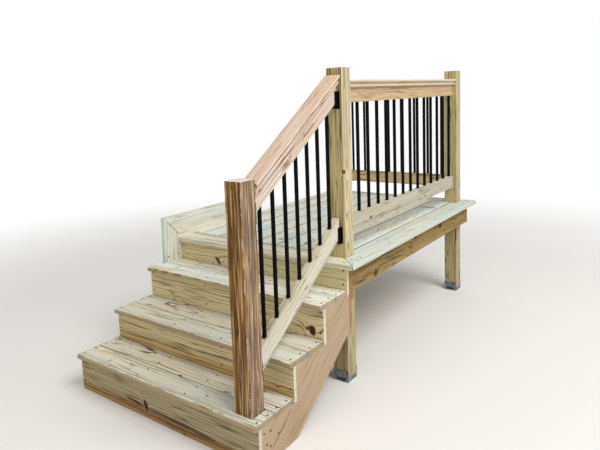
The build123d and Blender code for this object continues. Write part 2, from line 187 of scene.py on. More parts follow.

# How each timber was cut from its log, in millimetres in its own directions: along the grain,
# across the face, and out through the thickness, from its low corner. Pith is where the log's
# centre runs, heart is the heartwood's radius, pitch is the distance between boards that lie side
# by side in one piece, spread is how far their piths differ, and wane is the worn or unplaned edge.
# A knot or split is (along, across, half length, half width, turn in degrees, darkness, push of
# the rings around it), and a knot in a post also has where it lies through the thickness and its
# half depth there. A long wide one without push is a stain: at the back of a tread it is dirt and
# painted shade where the riser above stands, and on the foot of a post it is splashed soil and
# painted shade under the deck.
timbers = {
    "riser_1": {
        "finish": "riserPine", "along": "x", "face": "-y", "seed": 1,
        # shade 0.66, far below the other risers', paints the shade at the foot of the stair
        "pith": (10, 6), "heart": 40, "shade": 0.66, "contrast": 0.9, "knotColour": "#4a220c",
        "knots": [
            (512, 62, 14, 34, 22, 1.0, 9), (490, 52, 90, 9, 2, 0.6, 4),
            (700, 36, 460, 30, -1, 0.3, 0),
        ],
        "splits": [(430, 60, 82, 7, 0, 0.95), (690, 50, 190, 6.5, -1.5, 0.9), (900, 42, 90, 6, 0, 0.8)],
    },
    "riser_2": {
        "finish": "riserPine", "along": "x", "face": "-y", "seed": 2,
        "pith": (4, 2), "heart": 68, "shade": 1.08, "contrast": 0.7, "heartEarly": "#d2b67a",
        "knots": [(1122, 52, 6, 6, 0, 0.9, 6)],
    },
    "riser_3": {
        "finish": "riserPine", "along": "x", "face": "-y", "seed": 3,
        "pith": (40, -60), "heart": 10, "shade": 1.08, "contrast": 0.8, "lines": 0.7,
        "knotColour": "#4a2410",
        "knots": [(1146, 60, 22, 30, 15, 1.0, 14), (1124, 66, 20, 12, 0, 0.9, 0)],
        "splits": [(1180, 58, 24, 3, 30, 0.6)],
    },
    "riser_4": {
        "finish": "riserPine", "along": "x", "face": "-y", "seed": 4,
        "pith": (30, -70), "heart": 10, "shade": 1.06, "contrast": 0.8, "lines": 0.7,
        "knots": [(302, 52, 34, 13, -48, 0.97, 4)],
        "splits": [(258, 129, 33, 2.5, 3, 0.7)],
    },
    "tread_1": {
        "finish": "treadPine", "along": "x", "face": "z", "seed": 11, "pitch": 143,
        # shade 0.97 here and 0.96 on the next tread, against 1.06 on the top one, paints shade that
        # deepens towards the foot of the stair
        "pith": (75, -62), "spread": (40, 20), "heart": 22, "sway": 16, "wane": 16, "shade": 0.97,
        "contrast": 1.0, "lines": 1.0, "sideShare": 0.8,
        "knots": [
            (30, 104, 9, 6, 0, 0.5, 10), (50, 97, 24, 10, 0, 0, 9), (262, 191, 100, 10, -8, 0, 6),
            (291, 68, 90, 9, -2, 0, 8), (635, 147, 12, 6, 0, 0.9, 9), (876, 80, 9, 7, 0, 0.85, 8),
            # the last one is dirt and painted shade along the tread's back, where the riser above
            # stands
            (932, 156, 26, 8, 10, 0.55, 9), (500, 283, 900, 45, 0, 0.22, 0),
        ],
    },
    "tread_2": {
        "finish": "treadPine", "along": "x", "face": "z", "seed": 12, "pitch": 143,
        "pith": (75, -60), "spread": (40, 20), "heart": 30, "shade": 0.96, "contrast": 1.0,
        "lines": 1.0, "sideShare": 0.8,
        "knots": [
            # the second one is dirt and painted shade along the tread's back, where the riser above
            # stands
            (300, 60, 20, 9, 0, 0.4, 12), (500, 283, 900, 90, 0, 0.12, 0),
            (320, 67, 125, 11, 3, 0.4, 0),
        ],
    },
    "tread_3": {
        "finish": "treadPine", "along": "x", "face": "z", "seed": 13, "pitch": 143,
        # shade 1.06 and the paler early and cast colours paint the light on this top tread
        "pith": (75, -60), "spread": (40, 20), "heart": 28, "wane": 6, "shade": 1.06,
        "contrast": 0.55, "sideShare": 0.8, "early": "#e6e4d2", "cast": "#dfeae3",
        "knotColour": "#9c6a22",
        "knots": [
            # the second one is dirt and painted shade along the tread's back, where the riser above
            # stands
            (1098, 74, 26, 7, 15, 0.6, 5), (400, 260, 900, 110, 0, 0.25, 0),
            (75, -4, 20, 9, 0, 0.9, 0, 24, 14), (150, -4, 40, 10, 0, 0.95, 0, 22, 18),
            (250, -4, 54, 9, 0, 0.95, 0, 24, 16), (400, -4, 44, 9, 0, 0.9, 0, 26, 14),
            (560, -4, 34, 9, 0, 0.8, 0, 26, 12), (230, 215, 16, 10, 0, 0.9, 6),
            (372, 198, 48, 8, 0, 0.5, 0),
        ],
    },
    "deck_front_board": {
        "finish": "deckPine", "along": "x", "face": "z", "seed": 21,
        "pith": (80, -40), "heart": 26, "shade": 0.95, "early": "#ebe2c8", "cast": "#dfe3d0",
    },
    "deck_far_board": {
        "finish": "deckPine", "along": "x", "face": "z", "seed": 22,
        "pith": (60, -50), "heart": 20, "shade": 0.95,
    },
    "deck_edge_board": {
        "finish": "deckPine", "along": "y", "face": "z", "seed": 23,
        "pith": (-30, -60), "heart": 8, "shade": 0.95, "contrast": 0.3, "lines": 0.35,
        "early": "#dcdfd2", "cast": "#d4e2da", "knotColour": "#7a5a34",
        "knots": [(566, 90, 16, 12, 0, 0.45, 10), (781, 137, 26, 6, 0, 0.6, 6)],
    },
    "deck_field_boards": {
        "finish": "deckPine", "along": "y", "face": "z", "seed": 24, "pitch": 145,
        "pith": (70, -50), "spread": (90, 40), "heart": 14, "shade": 1.04, "contrast": 0.5,
        "lines": 0.5, "sideShare": 0.85, "cast": "#d6e6e2", "side": "#6b6450",
        "knots": [
            (582, 72, 16, 10, 0, 0.75, 10), (411, 511, 9, 15, 0, 0.7, 8),
            (124, 479, 16, 22, 0, 0.7, 10), (119, 298, 15, 16, 0, 0.8, 9),
            (217, 310, 9, 9, 0, 0.8, 6), (501, 876, 12, 17, 0, 0.65, 9),
            (932, 862, 12, 18, 0, 0.6, 9), (977, 988, 10, 14, 0, 0.6, 8),
            (1306, 1083, 12, 14, 0, 0.6, 8), (248, 455, 8, 12, 0, 0.5, 6),
            (1056, 781, 10, 14, 0, 0.5, 8),
        ],
        "splits": [(1392, 70, 22, 72, 0, 0.6)],
    },
    "skirt_upright": {
        "finish": "deckPine", "along": "z", "face": "x", "seed": 31,
        "pith": (-40, -60), "heart": 10, "rings": 9, "sway": 18, "shade": 1.08, "contrast": 0.5,
        "lines": 0.5,
        "splits": [(209, 70, 99, 2.2, 45, 0.85)],
    },
    "skirt_long": {
        "finish": "deckPine", "along": "y", "face": "x", "seed": 32,
        "pith": (-40, -60), "heart": 12, "rings": 9, "sway": 18, "shade": 1.12, "contrast": 0.5,
        "lines": 0.5,
        "splits": [(70, 70, 99, 2.2, -45, 0.85)],
    },
    "outer_stringer": {
        "finish": "stringerPine", "along": "slope", "face": "x", "seed": 41,
        "pith": (150, -70), "heart": 40, "sway": 40, "shade": 0.95, "knotColour": "#4a2a14",
        "splits": [(184, 12, 104, 3.2, 5, 0.9)],
    },
    "right_middle_stringer": {
        "finish": "stringerPine", "along": "slope", "face": "x", "seed": 42,
        "pith": (150, -60), "heart": 40,
    },
    "left_middle_stringer": {
        "finish": "stringerPine", "along": "slope", "face": "x", "seed": 43,
        "pith": (130, -60), "heart": 40,
    },
    "wall_stringer": {
        "finish": "stringerPine", "along": "slope", "face": "x", "seed": 44,
        "pith": (140, -60), "heart": 40,
    },
    "outer_rim": {
        "finish": "framePine", "along": "y", "face": "x", "seed": 51,
        "pith": (-30, -60), "heart": 20, "shade": 0.98, "early": "#ad9158", "cast": "#9a8858",
        "knotColour": "#3d2208",
        "knots": [
            (262, 25, 24, 22, 0, 0.8, 14), (1240, 82, 26, 17, 0, 1.0, 12),
            (819, 100, 24, 13, 0, 1.0, 10), (745, 51, 30, 20, 20, 0.4, 16),
        ],
    },
    "wall_rim": {
        "finish": "framePine", "along": "y", "face": "x", "seed": 52,
        "pith": (60, -42), "heart": 24,
    },
    "front_header": {
        "finish": "framePine", "along": "x", "face": "-y", "seed": 53,
        "pith": (80, -42), "heart": 20,
    },
    "inner_header": {
        "finish": "framePine", "along": "x", "face": "-y", "seed": 54,
        "pith": (80, -42), "heart": 20,
    },
    "stringer_hanger": {
        "finish": "framePine", "along": "x", "face": "-y", "seed": 55,
        "pith": (80, -42), "heart": 20,
    },
    "far_rim": {
        "finish": "framePine", "along": "x", "face": "-y", "seed": 56,
        "pith": (80, -42), "heart": 20,
    },
    "joists": {
        "finish": "framePine", "along": "x", "face": "-y", "seed": 57,
        "pith": (80, -42), "heart": 20,
    },
    "front_outer_post": {
        "finish": "postPine", "along": "z", "face": "-y", "seed": 61,
        # sideShare 0.35 paints light on the outer face toward x
        "pith": (-40, 60), "heart": 14, "sway": 9, "shade": 1.1, "contrast": 0.75, "sideShare": 0.35,
        "late": "#524116", "knotColour": "#5f4728",
        "knots": [
            (1107, 4, 17, 9, 25, 1.0, 9, 82, 16), (1078, 6, 12, 5, 25, 0.9, 6, 72, 16),
            # the last one darkens the leg towards the ground: splashed soil and painted shade under the
            # deck
            (1007, 38, 46, 14, 3, 0, 9, 89, 40), (0, 45, 640, 400, 0, 0.32, 0, 45, 400),
        ],
    },
    "far_outer_post": {
        "finish": "postPine", "along": "z", "face": "-y", "seed": 62,
        # sideShare 0.25 paints light on the outer face toward x
        "pith": (120, -40), "heart": 16, "shade": 0.93, "sideShare": 0.25, "knotColour": "#5f4728",
        # this darkens the leg towards the ground: splashed soil and painted shade under the deck
        "knots": [(0, 45, 640, 400, 0, 0.18, 0, 45, 400)],
    },
    "front_wall_post": {
        "finish": "postPine", "along": "z", "face": "-y", "seed": 63,
        "pith": (50, 20), "heart": 16, "rings": 11,
    },
    "far_wall_post": {
        "finish": "postPine", "along": "z", "face": "-y", "seed": 64,
        "pith": (50, 20), "heart": 16, "rings": 11,
    },
    "newel_post": {
        "finish": "weatheredPine", "along": "z", "face": "-y", "seed": 65,
        # sideShare lightens the faces toward x: weather bleaching, and painted light on the outer face
        "pith": (110, -30), "heart": 0, "wane": 10, "shade": 1.03, "sideShare": 0.11,
        "knotColour": "#20140b",
        "knots": [(1171, 47, 6, 5, 0, 1.0, 0, 89, 8), (874, 0, 16, 12, 0, 0.35, 10, 60, 12)],
    },
    "deck_cap_rail": {
        "finish": "railPine", "along": "y", "face": "z", "seed": 71,
        "pith": (-20, -40), "heart": 12, "contrast": 0.4, "lines": 0.45, "early": "#dccfb4",
        "cast": "#e0dccb",
    },
    "deck_top_rail": {
        "finish": "honeyPine", "along": "y", "face": "x", "seed": 72,
        "pith": (-30, -60), "heart": 20, "sway": 18, "shade": 0.95, "contrast": 0.8, "lines": 0.6,
        "late": "#7a5228",
    },
    "deck_bottom_rail": {
        "finish": "palePine", "along": "y", "face": "x", "seed": 73,
        "pith": (-20, -50), "heart": 10, "shade": 0.82, "contrast": 0.7, "lines": 0.7,
        "knots": [(254, 35, 22, 9, 10, 0.9, 12), (1049, 28, 30, 5, 5, 0.8, 6)],
        "splits": [(432, 24, 330, 2.5, 0, 0.45), (1482, 44, 3, 30, 0, 0.7)],
    },
    "far_cap_rail": {
        "finish": "honeyPine", "along": "x", "face": "z", "seed": 74,
        "pith": (40, -30), "heart": 12,
    },
    "far_top_rail": {
        "finish": "honeyPine", "along": "x", "face": "-y", "seed": 75,
        "pith": (40, -30), "heart": 20,
    },
    "far_bottom_rail": {
        "finish": "honeyPine", "along": "x", "face": "-y", "seed": 76,
        "pith": (40, -30), "heart": 20,
    },
    "stair_cap_rail": {
        "finish": "railPine", "along": "slope", "face": "x", "seed": 77,
        "pith": (60, -20), "heart": 12, "contrast": 0.9, "early": "#d6bda2",
    },
    "stair_top_rail": {
        "finish": "railPine", "along": "slope", "face": "x", "seed": 78,
        "pith": (-30, -50), "heart": 0, "shade": 0.95, "late": "#9a6d3e", "knotColour": "#94691f",
        "knots": [
            (356, 36, 13, 6, 22, 0.8, 3), (504, 46, 10, 5, 20, 0.75, 2), (95, 66, 14, 12, 0, 0.9, 6),
        ],
        "splits": [(440, 38, 420, 1.8, 0, 0.8)],
    },
    "stair_bottom_rail": {
        "finish": "palePine", "along": "slope", "face": "x", "seed": 79,
        "pith": (50, -40), "heart": 8,
        "knots": [(620, 84, 12, 5, 0, 0.8, 6), (431, 76, 8, 4, 0, 0.6, 4)],
    },
}
timberDefaults = {
    "spread": (0, 0), "shade": 1.0, "knots": [], "splits": [], "knotColour": "#5f3a1a",
    "castPerMetre": (1.3, 12, 12),  # clouds 770 mm long and 83 mm wide
    "fibresPerMetre": 200,  # drawn 5 mm wide, as their real tenth of a millimetre wouldn't show
    "streaks": 0.12,  # how much the fibres differ in shade
    "sideShare": 0.3,  # how much of the side's own colour shows there
    "shine": 0.5, "roughness": 0.8,
}

# What all the timbers share. Lengths are millimetres, and PerMetre counts a pattern's waves in a
# metre, along the board first where there are more than one.
grain = {
    "logsApart": 40000,  # how far along the pattern the boards may lie from each other
    "bendsPerMetre": 1.6,  # of the log's centre, 600 mm long
    "ripplesPerMetre": (4, 18, 18), "rippleDepth": 12,  # of the rings, 250 mm long and 55 mm wide
    "yearsPerMetre": 70, "yearDepth": 16,  # uneven rings from good and lean years, 14 mm apart
    "resinPerMetre": (1.4, 85),  # threads of resin, 700 mm long and 12 mm apart
    "fibreLengthPerMetre": 6,  # fibres 170 mm long
    "outlinesPerMetre": 45, "outlineDepth": 6,  # of knots and splits, wavy every 22 mm
    "wanesPerMetre": 28,  # of a worn edge, wavy every 35 mm
    "knotReach": 3.4,  # in its own radii, how far a knot bends the rings
    "leastSlant": 0.07,  # of a face across the rings, below which their lines get no thinner
    "endShare": 0.7,  # how much of the end's own colour shows there
    "waneShare": 0.6,
    "relief": 0.8,  # how far the late wood stands proud
}


# Where a timber's own directions start, and how they are turned. A level or upright piece starts
# at the low corner of its box in those directions, a sloping one at its lowest corner. All start a
# hair lower, so that no face lies on the border between two boards.
def grainFrame(node, timber):
    along = directions[timber["along"]]
    face = directions[timber["face"]]
    across = face.cross(along)
    low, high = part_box(node)
    if timber["along"] == "slope":
        corner = low
    else:
        corner = Vector((0, 0, 0))
        for axis in (along, across, face):
            corner += axis * min(axis.dot(low), axis.dot(high))
    hair = 0.2 * millimetre
    turned = Matrix((along, across, face)).transposed().to_euler()
    return corner - Vector((hair, hair, hair)), turned


# A point's place in its log, without and with the slow bends of the log's centre. Boards laid side
# by side in one piece each come from their own log.
def placeInLog(add, timber, board):
    seed = (timber["seed"], timber["seed"] * 0.37, 0.5)
    if "pitch" in timber:
        step = (100, timber["pitch"] * millimetre, 100)  # the boards differ across the face alone
        start = add("ShaderNodeVectorMath", {0: board, 1: step}, operation="SNAP")
        board = add("ShaderNodeVectorMath", {0: board, 1: start}, operation="SUBTRACT")
        seed = add("ShaderNodeVectorMath", {0: start, 1: seed}, operation="ADD")
    luck = add("ShaderNodeTexWhiteNoise", {"Vector": seed}, "Color")
    pith = [size * millimetre for size in timber["pith"]]
    spread = [size * millimetre for size in timber["spread"]]
    sway = timber["sway"] * millimetre
    centre = (0, pith[0] + spread[0] / 2 + sway, pith[1] + spread[1] / 2 + sway)
    apart = (grain["logsApart"] * millimetre, *spread)
    log = add("ShaderNodeVectorMath", {0: luck, 1: apart, 2: board}, operation="MULTIPLY_ADD")
    log = add("ShaderNodeVectorMath", {0: log, 1: centre}, operation="SUBTRACT")
    bend = add("ShaderNodeVectorMath", {0: log, 1: (grain["bendsPerMetre"], 0, 0)},
               operation="MULTIPLY")
    bend = add("ShaderNodeTexNoise", {"Vector": bend, "Scale": 1, "Detail": 1}, "Color")
    swayed = add("ShaderNodeVectorMath", {0: bend, 1: (0, 2 * sway, 2 * sway), 2: log},
                 operation="MULTIPLY_ADD")
    return log, swayed


# The distance from the pith, how steeply the face cuts the rings, and how much they ripple
def measureRings(add, log, swayed):
    flat = add("ShaderNodeVectorMath", {0: swayed, 1: (0, 1, 1)}, operation="MULTIPLY")
    radius = add("ShaderNodeVectorMath", {0: flat}, "Value", operation="LENGTH")
    slant = add("ShaderNodeSeparateXYZ", {"Vector": swayed}, "Y")
    slant = add("ShaderNodeMath", {0: slant}, operation="ABSOLUTE")
    slant = add("ShaderNodeMath", {0: slant, 1: radius}, operation="DIVIDE")
    ripple = add("ShaderNodeVectorMath", {0: log, 1: grain["ripplesPerMetre"]}, operation="MULTIPLY")
    ripple = add("ShaderNodeTexNoise", {"Vector": ripple, "Scale": 1, "Detail": 3})
    radius = add("ShaderNodeMath", {0: ripple, 1: grain["rippleDepth"] * millimetre, 2: radius},
                 operation="MULTIPLY_ADD")
    return radius, slant, ripple


# Knots darken the wood and push the rings aside, splits only darken it. The waves of their
# outlines all push one way, so each mark's middle is moved by half of their depth.
def addMarks(add, timber, board, radius):
    depth = grain["outlineDepth"] * millimetre
    wavy = add("ShaderNodeTexNoise", {
        "Vector": board, "Scale": grain["outlinesPerMetre"], "Detail": 1,
    }, "Color")
    wavy = add("ShaderNodeVectorMath", {0: wavy, 1: (depth, depth, depth), 2: board},
               operation="MULTIPLY_ADD")
    rightThrough = (0, 10000)  # middle and half depth of a mark that runs through the whole board
    marks = [(*knot, *rightThrough)[:9] for knot in timber["knots"]]
    marks += [(*split, 0, *rightThrough) for split in timber["splits"]]
    dark = 0.0
    for u, v, halfLength, halfWidth, turn, darkness, push, w, halfDepth in marks:
        inMark = add("ShaderNodeMapping", {
            "Vector": wavy,
            "Location": Vector((u, v, w)) * millimetre + Vector((depth, depth, depth)) / 2,
            "Rotation": (0, 0, math.radians(turn)),
            "Scale": Vector((halfLength, halfWidth, halfDepth)) * millimetre,
        }, vector_type="TEXTURE")
        reach = add("ShaderNodeVectorMath", {0: inMark}, "Value", operation="LENGTH")
        if push:
            bend = add("ShaderNodeMapRange", {
                "Value": reach, "From Max": grain["knotReach"],
                "To Min": push * millimetre, "To Max": 0,
            }, interpolation_type="SMOOTHSTEP")
            radius = add("ShaderNodeMath", {0: radius, 1: bend}, operation="ADD")
        if darkness:
            spot = add("ShaderNodeMapRange", {
                "Value": reach, "From Min": 0.6, "From Max": 1.15, "To Min": darkness, "To Max": 0,
            }, interpolation_type="SMOOTHSTEP")
            dark = add("ShaderNodeMath", {0: dark, 1: spot}, operation="MAXIMUM")
    return radius, dark


# How much late wood and resin shows. Each ring darkens to its late wood and ends sharply. Where
# the saw ran along the rings they spread out, so their lines are thinned and fainter there.
def addRings(add, timber, log, radius, slant, ripple):
    thin = add("ShaderNodeMath", {0: slant, 1: grain["leastSlant"]}, operation="MAXIMUM")
    faint = add("ShaderNodeMapRange", {"Value": slant, "From Max": 0.12, "To Min": 0.3})
    years = add("ShaderNodeMath", {0: radius, 1: grain["yearsPerMetre"]}, operation="MULTIPLY")
    years = add("ShaderNodeTexNoise", {"W": years, "Scale": 1, "Detail": 2}, noise_dimensions="1D")
    ringCount = add("ShaderNodeMath", {0: years, 1: grain["yearDepth"] * millimetre, 2: radius},
                    operation="MULTIPLY_ADD")
    ringCount = add("ShaderNodeMath", {0: ringCount, 1: timber["rings"] * millimetre},
                    operation="DIVIDE")
    share = add("ShaderNodeMath", {0: ringCount}, operation="FRACT")
    ringNumber = add("ShaderNodeMath", {0: ringCount}, operation="FLOOR")
    ringLuck = add("ShaderNodeTexWhiteNoise", {"W": ringNumber}, "Value", noise_dimensions="1D")
    strength = add("ShaderNodeMapRange", {
        "Value": ringLuck, "To Min": 0.4 * timber["contrast"], "To Max": timber["contrast"],
    })
    beforeEnd = add("ShaderNodeMath", {0: 1, 1: share}, operation="SUBTRACT")
    beforeEnd = add("ShaderNodeMath", {0: beforeEnd, 1: thin}, operation="DIVIDE")
    lateWood = add("ShaderNodeMapRange", {
        "Value": beforeEnd, "From Min": 0.12, "From Max": 0.55, "To Min": 1, "To Max": 0,
    }, interpolation_type="SMOOTHSTEP")
    ringEnd = add("ShaderNodeMapRange", {"Value": beforeEnd, "From Max": 0.08})
    fading = add("ShaderNodeMapRange", {
        "Value": ripple, "From Min": 0.35, "From Max": 0.55, "To Min": 0.6,
    })
    for part in (ringEnd, strength, fading, faint):
        lateWood = add("ShaderNodeMath", {0: lateWood, 1: part}, operation="MULTIPLY")

    # Thin threads of resin run between the rings
    perLength, perWidth = grain["resinPerMetre"]
    lengthwise = add("ShaderNodeSeparateXYZ", {"Vector": log})
    lengthwise = add("ShaderNodeMath", {0: lengthwise, 1: perLength}, operation="MULTIPLY")
    crosswise = add("ShaderNodeMath", {0: radius, 1: perWidth}, operation="MULTIPLY")
    resin = add("ShaderNodeCombineXYZ", {"X": lengthwise, "Y": crosswise})
    resin = add("ShaderNodeTexNoise", {"Vector": resin, "Scale": 1, "Detail": 2, "Roughness": 0.4},
                noise_dimensions="2D")
    fromThread = add("ShaderNodeMath", {0: resin, 1: 0.5}, operation="SUBTRACT")
    fromThread = add("ShaderNodeMath", {0: fromThread}, operation="ABSOLUTE")
    fromThread = add("ShaderNodeMath", {0: fromThread, 1: thin}, operation="DIVIDE")
    thread = add("ShaderNodeMapRange", {
        "Value": fromThread, "From Min": 0.01, "From Max": 0.06, "To Min": timber["lines"], "To Max": 0,
    }, interpolation_type="SMOOTHSTEP")
    thread = add("ShaderNodeMath", {0: thread, 1: fading}, operation="MULTIPLY")
    return add("ShaderNodeMath", {0: lateWood, 1: thread}, operation="MAXIMUM")


# Colour of the sawn face: treatment cast, heartwood, rings and fibres
def addGrainColour(add, timber, log, radius, lateWood, fibre):
    cast = add("ShaderNodeVectorMath", {0: log, 1: timber["castPerMetre"]}, operation="MULTIPLY")
    cast = add("ShaderNodeTexNoise", {"Vector": cast, "Scale": 1, "Detail": 3})
    cast = add("ShaderNodeMapRange", {
        "Value": cast, "From Min": 0.4, "From Max": 0.62, "To Max": timber["castShare"],
    }, interpolation_type="SMOOTHSTEP")
    sapwood = add("ShaderNodeMix", {
        0: cast, 6: toLinear(timber["early"]), 7: toLinear(timber["cast"]),
    }, 2, data_type="RGBA")
    heartEdge = timber["heart"] * millimetre
    inHeart = add("ShaderNodeMapRange", {
        "Value": radius, "To Min": 1, "To Max": 0,
        "From Min": heartEdge - 10 * millimetre, "From Max": heartEdge + 20 * millimetre,
    }, interpolation_type="SMOOTHSTEP")
    softWood = add("ShaderNodeMix", {0: inHeart, 6: sapwood, 7: toLinear(timber["heartEarly"])},
                   2, data_type="RGBA")
    hardWood = add("ShaderNodeMix", {
        0: inHeart, 6: toLinear(timber["late"]), 7: toLinear(timber["heartLate"]),
    }, 2, data_type="RGBA")
    colour = add("ShaderNodeMix", {0: lateWood, 6: softWood, 7: hardWood}, 2, data_type="RGBA")
    streak = add("ShaderNodeMapRange", {
        "Value": fibre, "From Min": 0.3, "From Max": 0.7,
        "To Min": (1 - timber["streaks"]) * timber["shade"],
        "To Max": (1 + timber["streaks"]) * timber["shade"],
    })
    return add("ShaderNodeVectorMath", {0: colour, "Scale": streak}, operation="SCALE")


# The narrow faces are rougher and have their own colour, and so have the sawn ends. On the posts
# and the newel the side colour also paints light on their faces toward x.
def addEdgeColour(add, timber, colour):
    along = directions[timber["along"]]
    across = directions[timber["face"]].cross(along)
    normal = add("ShaderNodeTexCoord", {}, "Normal")
    faces = ((across, "side", timber["sideShare"]), (along, "end", grain["endShare"]))
    for way, finish, share in faces:
        facing = add("ShaderNodeVectorMath", {0: normal, 1: way}, "Value", operation="DOT_PRODUCT")
        facing = add("ShaderNodeMath", {0: facing}, operation="ABSOLUTE")
        onFace = add("ShaderNodeMapRange", {
            "Value": facing, "From Min": 0.5, "From Max": 0.7, "To Max": share,
        })
        colour = add("ShaderNodeMix", {0: onFace, 6: colour, 7: toLinear(timber[finish])},
                     2, data_type="RGBA")
    return colour


# The log's own skin was left along one edge, or the edge has worn, so that the face ends there in
# a wavy line. On the newel the strip is pale, a worn edge and also a painted highlight of its
# rounded outer front corner.
def addWane(add, timber, place, board, colour):
    wave = add("ShaderNodeTexNoise", {"Vector": place, "Scale": grain["wanesPerMetre"], "Detail": 3})
    planedFrom = add("ShaderNodeMapRange", {
        "Value": wave, "From Min": 0.35, "From Max": 0.65, "To Max": timber["wane"] * millimetre,
    })
    fromEdge = add("ShaderNodeSeparateXYZ", {"Vector": board}, "Y")
    pastLine = add("ShaderNodeMath", {0: planedFrom, 1: fromEdge}, operation="SUBTRACT")
    skinAndCornerHighlight = add("ShaderNodeMapRange", {
        "Value": pastLine, "From Min": -1 * millimetre, "From Max": 2 * millimetre,
        "To Max": grain["waneShare"],
    }, interpolation_type="SMOOTHSTEP")
    onFace = add("ShaderNodeMapRange", {
        "Value": fromEdge, "From Min": 1 * millimetre, "From Max": 3 * millimetre,
    })
    skinAndCornerHighlight = add("ShaderNodeMath", {0: skinAndCornerHighlight, 1: onFace}, operation="MULTIPLY")
    return add("ShaderNodeMix", {0: skinAndCornerHighlight, 6: colour, 7: toLinear(timber["side"])},
               2, data_type="RGBA")


# Pine in the solid: growth rings round the log's centre, cut by the board's faces, dull as sawn
# and dried wood is
def makePine(node, timber):
    timber = {**timberDefaults, **finishes[timber["finish"]], **timber}
    material, tree, shader = newMaterial(f"{timber['finish']}_{node}")
    add = partial(addNode, tree)
    corner, turned = grainFrame(node, timber)
    place = add("ShaderNodeTexCoord", {}, "Object")
    board = add("ShaderNodeMapping", {"Vector": place, "Location": corner, "Rotation": turned},
                vector_type="TEXTURE")
    log, swayed = placeInLog(add, timber, board)
    radius, slant, ripple = measureRings(add, log, swayed)
    radius, dark = addMarks(add, timber, board, radius)
    lateWood = addRings(add, timber, log, radius, slant, ripple)

    width = timber["fibresPerMetre"]
    fibre = add("ShaderNodeVectorMath", {0: log, 1: (grain["fibreLengthPerMetre"], width, width)},
                operation="MULTIPLY")
    fibre = add("ShaderNodeTexNoise", {"Vector": fibre, "Scale": 1, "Detail": 3})
    colour = addGrainColour(add, timber, log, radius, lateWood, fibre)
    colour = addEdgeColour(add, timber, colour)
    if "wane" in timber:
        colour = addWane(add, timber, place, board, colour)
    if timber["knots"] or timber["splits"]:
        colour = add("ShaderNodeMix", {0: dark, 6: colour, 7: toLinear(timber["knotColour"])},
                     2, data_type="RGBA")
    tree.links.new(colour, shader.inputs["Base Color"])

    # The saw and the weather leave late wood a little proud of the soft wood
    height = add("ShaderNodeMath", {0: fibre, 1: 0.8, 2: lateWood}, operation="MULTIPLY_ADD")
    bump = add("ShaderNodeBump", {
        "Height": height, "Strength": 0.35, "Distance": grain["relief"] * millimetre,
    })
    tree.links.new(bump, shader.inputs["Normal"])
    shader.inputs["Roughness"].default_value = timber["roughness"]
    shader.inputs["Specular IOR Level"].default_value = timber["shine"]
    return material


for node, timber in timbers.items():
    nodes[node].material_slots[0].material = makePine(node, timber)
print("timber finished:", len(timbers), "pieces")

# Black powder coat on aluminium and steel: deep black with a soft satin shine, and an orange peel
# about 2 mm from crest to crest
blackCoat = {
    "colour": "#050505", "dusty": "#090908", "dustPerMetre": 12,  # in clouds 80 mm across
    "peelPerMetre": 450, "peelDepth": 0.3, "roughness": 0.6, "ior": 1.4, "specular": 0.12,
}


def makeBlackCoat(settings):
    material, tree, shader = newMaterial("blackPowderCoat")
    place = addNode(tree, "ShaderNodeTexCoord", {}, "Object")
    peel = addNode(tree, "ShaderNodeTexNoise", {
        "Vector": place, "Scale": settings["peelPerMetre"], "Detail": 1,
    })
    bump = addNode(tree, "ShaderNodeBump", {
        "Height": peel, "Strength": 0.05, "Distance": settings["peelDepth"] * millimetre,
    })
    dust = addNode(tree, "ShaderNodeTexNoise", {
        "Vector": place, "Scale": settings["dustPerMetre"], "Detail": 2,
    })
    colour = addNode(tree, "ShaderNodeMix", {
        0: dust, 6: toLinear(settings["colour"]), 7: toLinear(settings["dusty"]),
    }, 2, data_type="RGBA")
    tree.links.new(colour, shader.inputs["Base Color"])
    tree.links.new(bump, shader.inputs["Normal"])
    shader.inputs["Roughness"].default_value = settings["roughness"]
    shader.inputs["IOR"].default_value = settings["ior"]
    shader.inputs["Specular IOR Level"].default_value = settings["specular"]
    return material


# Hot-dip galvanised sheet: dull blue grey with faint spangles about 12 mm across
zincCoat = {
    "light": "#8f959b", "dark": "#5f656c", "spanglesPerMetre": 80, "metallic": 0.7, "roughness": 0.5,
}


def makeZincCoat(settings):
    material, tree, shader = newMaterial("galvanisedSheet")
    place = addNode(tree, "ShaderNodeTexCoord", {}, "Object")
    spangle = addNode(tree, "ShaderNodeTexVoronoi", {
        "Vector": place, "Scale": settings["spanglesPerMetre"],
    }, "Color")
    grey = addNode(tree, "ShaderNodeSeparateXYZ", {"Vector": spangle})
    colour = addNode(tree, "ShaderNodeMix", {
        0: grey, 6: toLinear(settings["dark"]), 7: toLinear(settings["light"]),
    }, 2, data_type="RGBA")
    tree.links.new(colour, shader.inputs["Base Color"])
    shader.inputs["Metallic"].default_value = settings["metallic"]
    shader.inputs["Roughness"].default_value = settings["roughness"]
    return material


black = makeBlackCoat(blackCoat)
for node in ("deck_balusters", "far_balusters", "stair_balusters", "stair_rail_brackets"):
    nodes[node].material_slots[0].material = black
nodes["post_bases"].material_slots[0].material = makeZincCoat(zincCoat)
print("metal finished")

